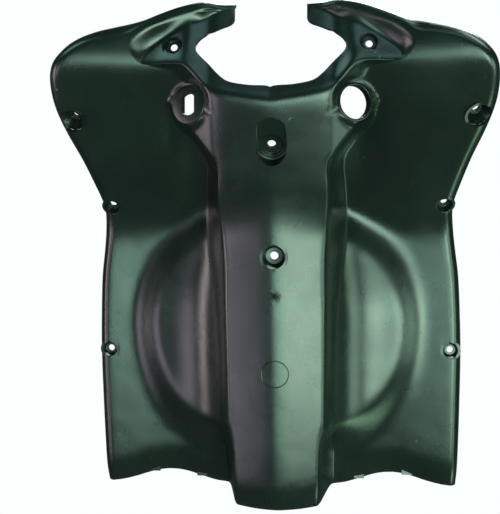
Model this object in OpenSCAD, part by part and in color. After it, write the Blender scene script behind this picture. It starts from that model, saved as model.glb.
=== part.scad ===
// Scooter front inner panel: one black moulding that closes the leg shield
// round the steering column, seen by the rider.
// X is across, Z is up, and the rider's side faces -Y.
// The origin is on the axis of the middle column screw, in the wall that its head clamps.

/* [Outline] */
// Width across the two ears
ear_w = 412; // [390:2:440]
// Width at the waist, between ears and lower body
waist_w = 356; // [340:2:370]
// Width of the lower body
body_w = 382; // [372:2:400]
// Height of the arm ends above the column screw
top_z = 235.5; // [228:0.5:252]
// Height of the widest point of the ears
ear_z = 155; // [148:1:160]
// Height of the waist
waist_z = 48; // [42:1:54]
// Depth of the bottom tip below the column screw
tip_z = 257; // [250:1:275]
// Rise of the wing edge above the bottom tip
wing_rise = 30; // [22:1:34]

/* [Steering notch] */
// Gap between the two arms
arm_gap = 66; // [56:2:76]
// Width across the notch corners
notch_w = 136; // [130:2:140]
// Height of the lowest point of the notch
notch_z = 154; // [150:1:157]
// Height of the lip at the centre line
lip_z = 142; // [136:1:144]
// Slope of the yoke plate above the lip, in degrees
plate_slope = 27; // [20:1:32]

/* [Tunnel and wings] */
// Width across the front edges of the tunnel
tunnel_w = 87; // [80:1:92]
// Depth of the wings behind the tunnel front
tunnel_depth = 84; // [70:1:92]
// Width of each tunnel side wall
side_run = 18; // [15:1:21]
// Backward lean of the lower body, in degrees
low_lean = 8; // [4:1:10]
// Lean of the tunnel front above the bend, in degrees
front_lean = 28; // [24:1:31]
// Lean of the wings above the bend, in degrees
wing_lean = 42; // [39:1:44]
// Height of the bend
bend_z = 34; // [28:1:38]
// Drop of each tunnel facet per millimetre of width
ridge_slope = 0.22; // [0.1:0.02:0.26]
// Rise of the wing towards its outer edge per millimetre
wing_tilt = 0.15; // [0.08:0.01:0.18]

/* [Wheel arches] */
// Height of the arch edge above the wing floor
arch_step = 10; // [6:1:13]
// Further height of the arch where it meets the tunnel
arch_swell = 32; // [20:1:36]
// Reach of the arch from the tunnel foot
arch_reach = 78; // [70:1:84]
// Height of the arch centre, below the column screw
arch_drop = 72; // [66:1:78]

/* [Wall and rim] */
// Thickness of the moulding
wall = 2.6; // [2.2:0.1:3]
// Width of the rolled rim
rim_w = 10; // [8:1:12]
// Depth of the rolled rim
rim_depth = 11; // [7:1:13]
// Depth of the straight lip behind the rolled rim
lip_depth = 5; // [3:1:8]
// Width of a bottom tongue
tongue_w = 11; // [8:1:14]
// Reach of a bottom tongue below the edge
tongue_reach = 4; // [3:1:8]

/* [Screws] */
// Diameter of the side and yoke screw holes
screw_d = 6.6; // [5:0.2:7.4]
// Diameter of the seat in the lower and middle side cups
side_seat_d = 12; // [11:0.5:13]
// Diameter of the mouth of the lower and middle side cups
side_cup_d = 15.5; // [14.5:0.5:17]
// Depth of the lower and middle side cups
side_cup_depth = 7; // [5:0.5:9]
// Diameter of the mouth of the upper side cups
ear_cup_d = 22; // [20:0.5:24]
// Depth of the upper side cups
ear_cup_depth = 9; // [7:0.5:11]
// Diameter of the mouth of the yoke cups
yoke_cup_d = 16.5; // [14.5:0.5:18]
// Depth of the yoke cups
yoke_cup_depth = 5; // [4:0.5:7]
// Distance between the two yoke screws
yoke_span = 178; // [172:1:182]
// Diameter of the column screw holes
column_screw_d = 8; // [6:0.2:9]
// Diameter of the seat in the column cup
column_seat_d = 17; // [15:0.5:18]
// Diameter of the mouth of the column cup
column_cup_d = 22.5; // [21:0.5:24]
// Depth of the column cup
column_cup_depth = 10; // [8:0.5:12]
// Width of the slanted pocket of the upper column screw
pocket_w = 28; // [25:1:30]
// Length of the floor of that pocket
pocket_l = 46; // [42:1:48]
// Lean of that floor, in degrees
pocket_lean = 40; // [38:1:43]
// Height of the upper column screw above the middle one
upper_screw_z = 104; // [101:1:107]
// Diameter of the shallow seat round the upper column screw
upper_seat_d = 22; // [19:0.5:24]

/* [Locks] */
// Distance between the lock hole and the key slot
lock_span = 153; // [150:1:156]
// Height of both above the column screw
lock_z = 142; // [139:1:144]
// Diameter of the lock hole
lock_d = 31; // [26:0.5:32]
// Outer diameter of the ring round each
ring_d = 36; // [34.5:0.5:38]
// Length of the sleeve round the lock hole
sleeve_l = 8.4; // [8:0.2:11]
// Turn of each ring towards its own side, in degrees
lock_turn = 27; // [22:1:29]
// Width of the key slot across its flats
slot_w = 13.5; // [11:0.5:15]
// Height of the key slot
slot_h = 20; // [18:0.5:22]

/* [Hidden] */
$fn = 48;
eps = 0.01;
ear_x = ear_w / 2;
waist_x = waist_w / 2;
body_x = body_w / 2;
gap_x = arm_gap / 2;
lock_x = lock_span / 2;
notch_x = notch_w / 2;
tunnel_x = tunnel_w / 2;
foot_x = tunnel_x + side_run;
low_slope = tan(low_lean);
front_slope = tan(front_lean) - low_slope;
wing_slope = tan(wing_lean) - tan(front_lean);
// The wing levels off below the crest of the arms
level_z = ear_z + 23;
level_slope = tan(wing_lean);
edge_z = -(tip_z - wing_rise);
yoke_z = lip_z + 52.5;
// Depth of the pad at the middle of a ring, and rise of the ring above it
pad_y = spine(lock_z) + 23;
ring_lift = 1.2;
// Depth of the shallow seat in the slanted pocket
seat_drop = 2;
// Height of the bottom skirt and how far it curls back
skirt_h = 24;
skirt_back = 9;
// Places of the bottom tongues, out from the centre line
TONGUES = [foot_x + 25, foot_x + 76];
// Cells between one pair of feature lines, across the half panel
BAND_CELLS = [6, 6, 6, 5, 3, 1];
// Rows between one pair of stations
ROW_CELLS = [2, 3, 3, 2, 2, 2, 2, 2, 2, 2, 2, 2, 2, 2, 1, 1, 1, 1, 1, 1, 1, 1, 1, 1, 1, 1, 1];

// Feature lines of the right half, bottom to arm end, station by station.
// First the centre line, which becomes the edge of the notch.
inner_line = [
  [0, -tip_z], [0, -tip_z + 46], [0, -160], [0, -105], [0, -60], [0, -20], [0, 8],
  [0, bend_z - 4], [0, waist_z + 4], [0, 72], [0, 92], [0, 110], [0, lip_z - 15],
  [0, lip_z - 1], [0, notch_z], [notch_x - 48, notch_z + 2], [notch_x - 30, notch_z + 5.5],
  [notch_x - 20, notch_z + 13], [notch_x - 11, notch_z + 23], [notch_x - 2, notch_z + 32],
  [notch_x, notch_z + 37.5], [notch_x - 2, notch_z + 42], [notch_x - 6, notch_z + 47],
  [notch_x - 13, top_z - 29.5], [gap_x + 13, top_z - 25.5], [gap_x + 5, top_z - 22.5],
  [gap_x + 1.5, top_z - 20], [gap_x, top_z - 17]
];
// Front edge of the tunnel, then the lip, then the foot of the arm's step
crest_line = [
  [tunnel_x - 3.5, -tip_z], [tunnel_x - 2.5, -tip_z + 46], [tunnel_x - 1.5, -160],
  [tunnel_x - 0.5, -105], [tunnel_x, -60], [tunnel_x + 1, -20], [tunnel_x + 2.5, 8],
  [tunnel_x + 5, bend_z - 4], [tunnel_x + 7, waist_z + 4], [tunnel_x + 6.5, 72],
  [tunnel_x + 4, 93], [tunnel_x + 3.5, 112], [tunnel_x + 6.5, lip_z - 13],
  [tunnel_x + 10, lip_z - 2], [tunnel_x + 13, lip_z + 10.5], [tunnel_x + 17, lip_z + 15],
  [tunnel_x + 21.5, lip_z + 20.5], [tunnel_x + 27.5, lip_z + 28], [tunnel_x + 35.5, lip_z + 34],
  [tunnel_x + 48.5, ear_z + 22.5], [tunnel_x + 62.5, ear_z + 22.5], [tunnel_x + 74.5, ear_z + 23],
  [tunnel_x + 69, ear_z + 32.5], [tunnel_x + 54.5, ear_z + 43], [gap_x + 45, top_z - 26.5],
  [gap_x + 27, top_z - 19.5], [gap_x + 13, top_z - 15.5], [gap_x, top_z - 13]
];
// Foot of the tunnel wall, then the crest of the arm's step
foot_line = [
  [foot_x - 3, -tip_z], [foot_x - 2, -tip_z + 47], [foot_x - 1, -160], [foot_x, -104],
  [foot_x + 1.5, -60], [foot_x + 6, -20], [foot_x + 10.5, 8], [foot_x + 12, bend_z - 4],
  [foot_x + 11.5, waist_z + 4], [foot_x + 9.5, 73], [foot_x + 7.5, 94],
  [lock_x - 1, lock_z - 31.5], [lock_x + 11.5, lock_z - 14.5], [lock_x + 24.5, lock_z + 4],
  [lock_x + 20, lock_z + 15.5], [foot_x + 29.5, lip_z + 24.5], [foot_x + 30, lip_z + 27.5],
  [foot_x + 31, lip_z + 29.8], [foot_x + 34.5, ear_z + 18.3], [foot_x + 40.5, ear_z + 19.6],
  [foot_x + 50.5, ear_z + 21], [foot_x + 61, ear_z + 25], [foot_x + 68, ear_z + 39],
  [foot_x + 56, ear_z + 52.5], [gap_x + 67, top_z - 20], [gap_x + 48, top_z - 12],
  [gap_x + 29, top_z - 8.5], [gap_x, top_z - 7]
];
// Edge of the wheel arch, then the middle of the wing and the ear
arch_line = [
  [foot_x + 55, -tip_z], [foot_x + 46, -tip_z + 49], [foot_x + 62, -158], [foot_x + 75, -103],
  [foot_x + arch_reach, -60], [foot_x + 70, -20], [foot_x + 58, 8], [foot_x + 50, bend_z - 4],
  [foot_x + 50, waist_z + 4], [foot_x + 56, 74], [foot_x + 62, 97], [foot_x + 68, 119],
  [foot_x + 72, ear_z - 17], [foot_x + 78, ear_z], [foot_x + 82, ear_z + 11.5],
  [foot_x + 82.5, ear_z + 14.5], [foot_x + 83, ear_z + 17], [foot_x + 83, ear_z + 19],
  [foot_x + 82.5, ear_z + 21], [foot_x + 82, ear_z + 22.5], [foot_x + 81, ear_z + 24],
  [foot_x + 78.5, ear_z + 30], [foot_x + 71, ear_z + 43.5], [foot_x + 56.4, ear_z + 54],
  [gap_x + 67.6, top_z - 18.5], [gap_x + 48.4, top_z - 10.5], [gap_x + 29.2, top_z - 7],
  [gap_x, top_z - 5.7]
];
// Line where the rim starts to roll back
rim_line = [
  [body_x - rim_w, -tip_z + 9.5], [body_x - rim_w, -tip_z + 53], [body_x - rim_w, -156],
  [body_x - rim_w, -102], [body_x - rim_w - 1, -60], [body_x - rim_w - 4, -20],
  [body_x - rim_w - 8, 8], [waist_x - rim_w + 1, bend_z - 4], [waist_x - rim_w, waist_z + 4],
  [waist_x - rim_w + 5, 74], [ear_x - rim_w - 15.5, 97], [ear_x - rim_w - 7.5, 119],
  [ear_x - rim_w - 1.5, ear_z - 17], [ear_x - rim_w, ear_z - 2], [ear_x - rim_w - 2, ear_z + 13],
  [ear_x - rim_w - 7, ear_z + 22], [ear_x - rim_w - 14, ear_z + 30], [ear_x - rim_w - 22, ear_z + 35],
  [ear_x - rim_w - 31, ear_z + 39.5], [ear_x - 50, ear_z + 41.8], [ear_x - 58, ear_z + 43.2],
  [ear_x - 67, ear_z + 44.4], [ear_x - 74, ear_z + 46], [foot_x + 56.8, ear_z + 55.5],
  [gap_x + 68, top_z - 17], [gap_x + 48.8, top_z - 9], [gap_x + 29.4, top_z - 5.5],
  [gap_x, top_z - 4.4]
];
outline = [
  [body_x - 1.5, -tip_z + 10], [body_x - 0.5, -tip_z + 54], [body_x, -156], [body_x, -102],
  [body_x - 1.5, -60], [body_x - 4, -20], [body_x - 8, 8], [waist_x + 2, bend_z - 4],
  [waist_x, waist_z + 4], [waist_x + 5.5, 74], [ear_x - 15.5, 97], [ear_x - 7, 119],
  [ear_x - 1.5, ear_z - 17], [ear_x, ear_z - 1], [ear_x - 1.5, ear_z + 14], [ear_x - 5.5, ear_z + 25],
  [ear_x - 12, ear_z + 33.5], [ear_x - 21, ear_z + 42], [ear_x - 33, ear_z + 49],
  [ear_x - 47, ear_z + 54.2], [ear_x - 58, ear_z + 57], [ear_x - 68, ear_z + 59.3],
  [ear_x - 78, ear_z + 61.5], [ear_x - 91, ear_z + 65], [gap_x + 68, top_z - 10],
  [gap_x + 50, top_z - 4], [gap_x + 29, top_z], [gap_x, top_z - 0.5]
];
STATIONS = [for (i = [0:len(outline) - 1])
  [inner_line[i], crest_line[i], foot_line[i], arch_line[i], rim_line[i], outline[i]]];
// Bottom edge: height against distance from the centre line
bottom_edge = [
  [0, -tip_z], [20, -tip_z + 1.5], [tunnel_x - 7, -tip_z + 4], [tunnel_x + 1.5, -tip_z + 6],
  [tunnel_x + 8, -tip_z + 8], [foot_x - 2, -tip_z + 10], [foot_x + 10, edge_z - 17.5],
  [foot_x + 27, edge_z - 11], [foot_x + 42, edge_z - 5], [foot_x + 57, edge_z - 2],
  [foot_x + 72, edge_z - 4], [foot_x + 86, edge_z - 8.5], [foot_x + 95, edge_z - 12],
  [body_x - 18, -tip_z + 13], [body_x - 6, -tip_z + 11], [body_x, -tip_z + 10.5]
];
// Lip: height against distance from the centre line
lip_edge = concat(
  [[0, lip_z], [20, lip_z + 2.6], [tunnel_x - 2, lip_z + 6]],
  [for (i = [14:21]) crest_line[i]],
  [[ear_x, ear_z + 21.5]]
);
// Depth of the rim roll, station by station
rim_fall = [
  [0, rim_depth], [8, rim_depth - 1], [13, rim_depth - 2], [17, rim_depth + 2],
  [22, rim_depth + 2], [27, rim_depth - 5]
];

// Clamped blend from 0 at a to 1 at b
function smooth(a, b, v) = let (t = min(1, max(0, (v - a) / (b - a)))) t * t * (3 - 2 * t);
// Rounded max(v, 0)
function soft(v, r) = (v + sqrt(v * v + r * r)) / 2;
// Straight ramp from 0 to 1 with a round at each end
function ease(t, e = 0.3) =
  t <= 0 ? 0 : t >= 1 ? 1 :
  t < e ? t * t / (2 * e * (1 - e)) :
  t > 1 - e ? 1 - (1 - t) * (1 - t) / (2 * e * (1 - e)) : (t - e / 2) / (1 - e);
// Catmull-Rom curve through points, parameter t counted in points
function curve(p, t) =
  let (
    n = len(p), i = min(n - 2, floor(t)), s = t - i,
    a = p[max(0, i - 1)], b = p[i], c = p[i + 1], d = p[min(n - 1, i + 2)]
  )
  0.5 * (2 * b + (c - a) * s + (2 * a - 5 * b + 4 * c - d) * s * s + (3 * b - a - 3 * c + d) * s * s * s);
// Slope of a table at one of its entries
function slope_at(p, i) =
  let (a = p[max(0, i - 1)], b = p[min(len(p) - 1, i + 1)]) (b[1] - a[1]) / (b[0] - a[0]);
// Smooth look-up in a table of [key, value] pairs
function look(v, p, i = 0) =
  v <= p[0][0] ? p[0][1] :
  i == len(p) - 1 ? p[i][1] :
  v > p[i + 1][0] ? look(v, p, i + 1) :
  let (h = p[i + 1][0] - p[i][0], s = (v - p[i][0]) / h)
  (2 * s * s * s - 3 * s * s + 1) * p[i][1] + (s * s * s - 2 * s * s + s) * h * slope_at(p, i)
  + (3 * s * s - 2 * s * s * s) * p[i + 1][1] + (s * s * s - s * s) * h * slope_at(p, i + 1);

// Depth of the spine at a height: lower lean, bend, upper lean
function spine(z) = -low_slope * z - front_slope * (soft(z - bend_z, 25) - soft(-bend_z, 25));
// Depth of the tunnel front, and of the yoke plate above its lip
function front_face(u, z) =
  let (
    g = z - look(u, lip_edge),
    h = z - soft(g, 5),
    ridge = ridge_slope * (1 - 0.7 * smooth(10, 75, h)),
    flare = 24 * (1 - exp(-soft(u - tunnel_x - 12, 6) / 24))
  )
  spine(h) + ridge * (sqrt(u * u + 64) - 8) + flare
  + tan(plate_slope) * soft(g, 5) - 0.3 * soft(g - 15, 8);
// 0 at the middle of a wheel arch, 1 at its edge
function arch_ring(u, z) =
  let (r = z > -arch_drop ? 106 : 121)
  sqrt(pow((u - foot_x) / arch_reach, 2) + pow((z + arch_drop) / r, 2));
// Depth of the wing floor, with the arch and the hollow beside the tunnel
function wing_face(u, z) =
  let (
    rest = spine(z) + tunnel_depth - wing_slope * soft(z - bend_z, 20)
      + level_slope * soft(z - level_z, 14) - wing_tilt * soft(u - foot_x - 8, 10),
    swell = arch_step + arch_swell * exp(-(u - foot_x - 3) / 26),
    arch = swell * (1 - 0.35 * smooth(-60, 30, z)) * (1 - smooth(0.92, 1.14, arch_ring(u, z))),
    hollow = 12 * exp(-pow((u - foot_x - 22) / 22, 2) - pow((z - 120) / 34, 2))
  )
  rest - arch + hollow;

// Heights of the rows, as parameters along the stations
ROW_T = [for (i = [0:len(ROW_CELLS) - 1]) for (j = [0:ROW_CELLS[i] - 1]) i + j / ROW_CELLS[i],
  len(ROW_CELLS)];
// Columns, as parameters across the feature lines
COLUMN_S = [for (i = [0:len(BAND_CELLS) - 1]) for (j = [0:BAND_CELLS[i] - 1]) i + j / BAND_CELLS[i],
  len(BAND_CELLS)];
ROWS = len(ROW_T) - 1;
COLUMNS = len(COLUMN_S) - 1;
// Row at which the centre line opens into the notch
NOTCH_ROW = search(14, ROW_T)[0];

// Depth of the flat seat that carries a lock ring
function pad_face(u) = pad_y + (u - lock_x) * tan(lock_turn);
// The face with the pad beside the tunnel and the round seat of the ring.
// y is the face without them and front is the depth of the tunnel front there.
function with_pad(u, z, y, front) =
  let (
    outer_side = 0.886 * (lock_x + 21.5 - u) - 0.463 * (z - lock_z - 4),
    lower_side = 0.803 * (lock_x + 21.5 - u) + 0.596 * (z - lock_z - 4),
    pad = smooth(-2, 2, min(outer_side, lower_side)),
    plane = pad_face(u) + 0.55 * soft(lock_z - 17 - z, 5),
    r = norm([(u - lock_x) / cos(lock_turn), z - lock_z]),
    seat = 1 - smooth(ring_d / 2 + 0.5, ring_d / 2 + 4, r),
    padded = y + pad * (max(front, min(y, plane)) - y)
  )
  padded + seat * (pad_face(u) - padded);

// Point of the face at column s in a row of knots
function face_point(knots, t, s) =
  let (
    i = min(4, floor(s)),
    q = knots[i] + (knots[i + 1] - knots[i]) * min(1, s - i),
    p = [max(0, q[0]), q[1]],
    straight = -tip_z + p[0] * 10 / body_x,
    edge = look(p[0], bottom_edge),
    z = p[1] + (edge - straight) * (1 - smooth(-tip_z, -150, p[1])),
    roll = min(1, max(0, s - 4)),
    skirt = max(0, 1 - (z - edge) / skirt_h),
    a = front_face(p[0], z),
    y = with_pad(p[0], z, a + (wing_face(p[0], z) - a) * ease(s - 1), a)
  )
  [p[0], y + look(t, rim_fall) * roll * roll + skirt_back * skirt * skirt + lip_depth * max(0, s - 5), z];
HALF = [for (t = ROW_T)
  let (knots = [for (k = [0:5]) curve([for (st = STATIONS) st[k]], t)])
  [for (s = COLUMN_S) face_point(knots, t, s)]];
// The whole face, row by row, left outline to right outline
FACE = [for (row = HALF) concat(
  [for (i = [COLUMNS:-1:0]) [-row[i][0], row[i][1], row[i][2]]], [for (i = [0:COLUMNS]) row[i]])];
WIDE = 2 * COLUMNS + 2;
function unit(v) = v / norm(v);
// Inward direction at a grid point, from its neighbours on the same half
function inward(k, i) =
  let (
    lo = i <= COLUMNS ? 0 : COLUMNS + 1,
    hi = i <= COLUMNS ? COLUMNS : WIDE - 1,
    seam = (i == COLUMNS || i == COLUMNS + 1) && k <= NOTCH_ROW,
    a = seam ? FACE[k][COLUMNS - 1] : FACE[k][max(lo, i - 1)],
    b = seam ? FACE[k][COLUMNS + 2] : FACE[k][min(hi, i + 1)],
    c = FACE[max(0, k - 1)][i],
    d = FACE[min(ROWS, k + 1)][i]
  )
  unit(cross(d - c, b - a));
BACK = [for (k = [0:ROWS]) [for (i = [0:WIDE - 1]) FACE[k][i] + wall * inward(k, i)]];

function side_index(side) = side * (ROWS + 1) * WIDE;
// Vertex number; below the notch both halves share the centre column
function vertex(k, i, side) =
  side_index(side) + k * WIDE + (i == COLUMNS && k <= NOTCH_ROW ? COLUMNS + 1 : i);
CELLS = [for (k = [0:ROWS - 1]) for (i = [0:WIDE - 2]) if (i != COLUMNS) [k, i]];
face_tris = [for (c = CELLS) let (k = c[0], i = c[1]) each [
  [vertex(k, i, 0), vertex(k + 1, i, 0), vertex(k + 1, i + 1, 0)],
  [vertex(k, i, 0), vertex(k + 1, i + 1, 0), vertex(k, i + 1, 0)]]];
back_tris = [for (c = CELLS) let (k = c[0], i = c[1]) each [
  [vertex(k, i, 1), vertex(k + 1, i + 1, 1), vertex(k + 1, i, 1)],
  [vertex(k, i, 1), vertex(k, i + 1, 1), vertex(k + 1, i + 1, 1)]]];
// The free edge, once round: bottom, right outline, right arm, notch, left arm, left outline
EDGE = concat(
  [for (i = [0:COLUMNS - 1]) [0, i]], [for (i = [COLUMNS + 1:WIDE - 1]) [0, i]],
  [for (k = [1:ROWS]) [k, WIDE - 1]],
  [for (i = [WIDE - 2:-1:COLUMNS + 1]) [ROWS, i]],
  [for (k = [ROWS - 1:-1:NOTCH_ROW]) [k, COLUMNS + 1]],
  [for (k = [NOTCH_ROW + 1:ROWS]) [k, COLUMNS]],
  [for (i = [COLUMNS - 1:-1:0]) [ROWS, i]],
  [for (k = [ROWS - 1:-1:1]) [k, 0]]
);
edge_tris = [for (j = [0:len(EDGE) - 1])
  let (a = EDGE[j], b = EDGE[(j + 1) % len(EDGE)]) each [
    [vertex(a[0], a[1], 0), vertex(b[0], b[1], 0), vertex(b[0], b[1], 1)],
    [vertex(a[0], a[1], 0), vertex(b[0], b[1], 1), vertex(a[0], a[1], 1)]]];

module shell() {
  polyhedron([each [for (row = FACE) each row], each [for (row = BACK) each row]],
    concat(face_tris, back_tris, edge_tris));
}

// Screws of one half: x, z, face depth, mouth, seat, cup depth, lean, turn
EAR_SCREW = [ear_x - 15.5, ear_z - 24, wing_face(ear_x - 15.5, ear_z - 24) + 1.5,
  ear_cup_d, side_seat_d, ear_cup_depth, 52, 20];
WAIST_SCREW = [waist_x - 9, waist_z + 3, wing_face(waist_x - 9, waist_z + 3),
  side_cup_d, side_seat_d, side_cup_depth, 40, 8];
BODY_SCREW = [body_x - 11.5, -98, wing_face(body_x - 11.5, -98),
  side_cup_d, side_seat_d, side_cup_depth, low_lean, 0];
YOKE_SCREW = [yoke_span / 2, yoke_z, front_face(yoke_span / 2, yoke_z),
  yoke_cup_d, side_seat_d, yoke_cup_depth, -10, 0];
COLUMN_SCREW = [0, 0, 0, column_cup_d, column_seat_d, column_cup_depth, low_lean + 2, 0];
// Middle of the wall under the head of the column screw, from the face
CLAMP = (column_cup_depth + wall / 2) * [0, cos(COLUMN_SCREW[6]), sin(COLUMN_SCREW[6])];
POCKET_TOP = lip_z - 15;
POCKET = [0, POCKET_TOP, front_face(0, POCKET_TOP)];

// Children stand at a screw, with their Z axis pointing into the panel.
// The lean turns the outward axis down and the turn moves it outwards.
module at_screw(s, side) {
  translate([side * s[0], s[2], s[1]]) rotate([0, side * -s[7], 0])
    rotate([-90 + s[6], 0, 0]) children();
}
module cup_body(s, side) {
  at_screw(s, side) translate([0, 0, wall / 2])
    cylinder(d1 = s[3] + 2 * wall, d2 = s[4] + 2 * wall, h = s[5] + wall / 2);
}
module cup_cut(s, side) {
  at_screw(s, side) {
    translate([0, 0, -12]) cylinder(d = s[3], h = 12 + eps);
    cylinder(d1 = s[3], d2 = s[4], h = s[5]);
  }
}
// Through hole square to the seat, or along Y where the cup leans only a little
module screw_hole(s, side, d) {
  if (abs(s[6]) > 15) at_screw(s, side) cylinder(d = d, h = s[5] + 12);
  else translate([side * s[0], s[2] + s[5] - 4, s[1] + s[5] * sin(s[6])])
    rotate([-90, 0, 0]) cylinder(d = d, h = 16);
}
module cups(cutting) {
  for (side = [-1, 1]) for (s = [EAR_SCREW, WAIST_SCREW, BODY_SCREW, YOKE_SCREW]) {
    if (cutting) cup_cut(s, side);
    if (cutting) screw_hole(s, side, screw_d);
    if (!cutting) cup_body(s, side);
  }
  if (cutting) cup_cut(COLUMN_SCREW, 1);
  if (cutting) at_screw(COLUMN_SCREW, 1) cylinder(d = column_screw_d, h = 2 * column_cup_depth);
  if (!cutting) cup_body(COLUMN_SCREW, 1);
}
// Round-ended bar of width w and length l, hanging down from its top end
module capsule(w, l, h) {
  for (y = [w / 2, l - w / 2]) translate([0, y, 0]) cylinder(d = w, h = h);
  translate([-w / 2, w / 2, 0]) cube([w, l - w, h]);
}
// Children stand at the top of the slanted pocket, Y down its floor, Z into the panel
module at_pocket() {
  translate([0, POCKET[2], POCKET[1]]) rotate([-90 + pocket_lean, 0, 0]) children();
}
module pocket_body() {
  at_pocket() intersection() {
    translate([0, -wall, -pocket_w / 2])
      capsule(pocket_w + 2 * wall, pocket_l + 2 * wall, pocket_w / 2 + wall + seat_drop);
    rotate([front_lean - pocket_lean, 0, 0])
      translate([-pocket_w, -pocket_w / 2, wall / 2]) cube([2 * pocket_w, 2 * pocket_l, pocket_w]);
  }
}
module pocket_cut() {
  at_pocket() {
    translate([0, 0, -pocket_w]) capsule(pocket_w, pocket_l, pocket_w);
    translate([0, (POCKET_TOP - upper_screw_z) / cos(pocket_lean), -eps]) {
      cylinder(d1 = upper_seat_d, d2 = upper_seat_d - 2, h = seat_drop);
      cylinder(d = column_screw_d, h = pocket_w);
    }
  }
}
// Children stand at the middle of a ring, Z pointing into the panel
module at_lock(side) {
  translate([side * lock_x, pad_y, lock_z]) rotate([0, 0, side * lock_turn])
    rotate([-90, 0, 0]) children();
}
module ring(side, length) {
  at_lock(side) translate([0, 0, -ring_lift]) cylinder(d = ring_d, h = length);
}
module lock_hole() {
  at_lock(1) translate([0, 0, -20]) cylinder(d = lock_d, h = 40);
}
module key_slot() {
  at_lock(-1) intersection() {
    translate([0, 0, -20]) cylinder(d = slot_h, h = 40);
    translate([-slot_w / 2, -slot_h, -21]) cube([slot_w, 2 * slot_h, 42]);
  }
}
// Short tongues behind the bottom edge that hook into the footboard
module tongues() {
  for (side = [-1, 1]) for (u = TONGUES)
    let (z = look(u, bottom_edge), y = wing_face(u, z) + skirt_back)
      translate([side * u - tongue_w / 2, y + wall / 3, z - tongue_reach])
        cube([tongue_w, wall * 0.8, tongue_reach + 4]);
}
module inner_panel() {
  color("#1c211f") translate(-CLAMP) difference() {
    union() {
      shell();
      cups(false);
      pocket_body();
      tongues();
      ring(-1, ring_lift + wall + 1);
      ring(1, sleeve_l);
    }
    cups(true);
    pocket_cut();
    lock_hole();
    key_slot();
  }
}
inner_panel();
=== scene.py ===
"""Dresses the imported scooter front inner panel: one black moulding with its cups, rings and fine marks.

The face is a grid whose rows and columns follow the panel's own feature lines. Lengths inside the
form are in millimetres, and everything that Blender is given is in metres, in the frame of the part.
"""
import math

import bpy
from mathutils import Matrix, Vector


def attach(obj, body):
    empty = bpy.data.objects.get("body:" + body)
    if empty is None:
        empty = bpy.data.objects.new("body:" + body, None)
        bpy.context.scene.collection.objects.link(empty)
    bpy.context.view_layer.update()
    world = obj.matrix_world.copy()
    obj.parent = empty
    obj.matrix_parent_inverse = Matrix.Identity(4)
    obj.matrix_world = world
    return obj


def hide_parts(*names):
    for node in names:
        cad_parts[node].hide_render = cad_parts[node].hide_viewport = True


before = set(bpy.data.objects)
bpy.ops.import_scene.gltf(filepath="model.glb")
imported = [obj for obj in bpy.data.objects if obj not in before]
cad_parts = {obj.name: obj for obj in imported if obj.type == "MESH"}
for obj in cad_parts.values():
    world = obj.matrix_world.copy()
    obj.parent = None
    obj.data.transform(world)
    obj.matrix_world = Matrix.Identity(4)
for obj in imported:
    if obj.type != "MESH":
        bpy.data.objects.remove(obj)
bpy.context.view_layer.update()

bl_info = {
    "name": "Scooter Inner Panel",
    "version": (1, 0, 0),
    "blender": (4, 5, 0),
    "location": "View3D > Sidebar > Panel",
    "description": "Models and finishes the inner panel of a scooter's leg shield",
    "category": "Object",
}

MM = 0.001
# Width of the photograph's frame in pixels, and of the camera's sensor in millimetres
PHOTO_W = 500
SENSOR_W = 36.0
# Distances and sizes of the stage, in metres
LAMP_DISTANCE = 1.6
FLOOR_SIZE, FLOOR_Z = 4.0, -1.45
# What the camera sees of the floor and the world, and what they send to the panel
WHITE = (0.97, 1.0, 0.995, 1.0)
FLOOR_COLOUR = (0.13, 0.14, 0.135, 1.0)
WORLD_COLOUR = (0.035, 0.060, 0.055, 1.0)
# Corners sharper than this are rounded, and edges sharper than this are shaded sharp
ROUNDED_OVER, SHARP_OVER = math.radians(65), math.radians(35)
NODE = "inner_panel"
BODY = "root"


class PanelSizes(bpy.types.PropertyGroup):
    """Sizes of the moulding"""

    ear_width: bpy.props.FloatProperty(
        name="Ear width", description="Width across the two ears", default=0.412, unit="LENGTH")
    waist_width: bpy.props.FloatProperty(
        name="Waist width", description="Width between ears and lower body", default=0.356, unit="LENGTH")
    body_width: bpy.props.FloatProperty(
        name="Body width", description="Width of the lower body", default=0.382, unit="LENGTH")
    top_height: bpy.props.FloatProperty(
        name="Arm height", description="Height of the arm ends", default=0.2355, unit="LENGTH")
    tip_depth: bpy.props.FloatProperty(
        name="Tip depth", description="Depth of the bottom tip", default=0.257, unit="LENGTH")
    tunnel_width: bpy.props.FloatProperty(
        name="Tunnel width", description="Width across the tunnel's front edges", default=0.087,
        unit="LENGTH")
    tunnel_depth: bpy.props.FloatProperty(
        name="Tunnel depth", description="Depth of the wings behind the tunnel", default=0.084, unit="LENGTH")
    wall: bpy.props.FloatProperty(
        name="Wall", description="Thickness of the moulding", default=0.0026, unit="LENGTH")
    edge_round: bpy.props.FloatProperty(
        name="Edge round", description="Rounding of the free edges", default=0.0007, unit="LENGTH")


class PanelFinish(bpy.types.PropertyGroup):
    """Colours and surface of the moulding"""

    colour: bpy.props.FloatVectorProperty(
        name="Colour", description="Colour of the plastic", default=(0.004, 0.008, 0.0065),
        subtype="COLOR", size=3, min=0.0, max=1.0)
    dust_colour: bpy.props.FloatVectorProperty(
        name="Dust", description="Colour of specks and rubbed places", default=(0.10, 0.12, 0.11),
        subtype="COLOR", size=3, min=0.0, max=1.0)
    roughness: bpy.props.FloatProperty(
        name="Roughness", description="Mean roughness of the satin grain", default=0.27, min=0.05, max=1.0)


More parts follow.
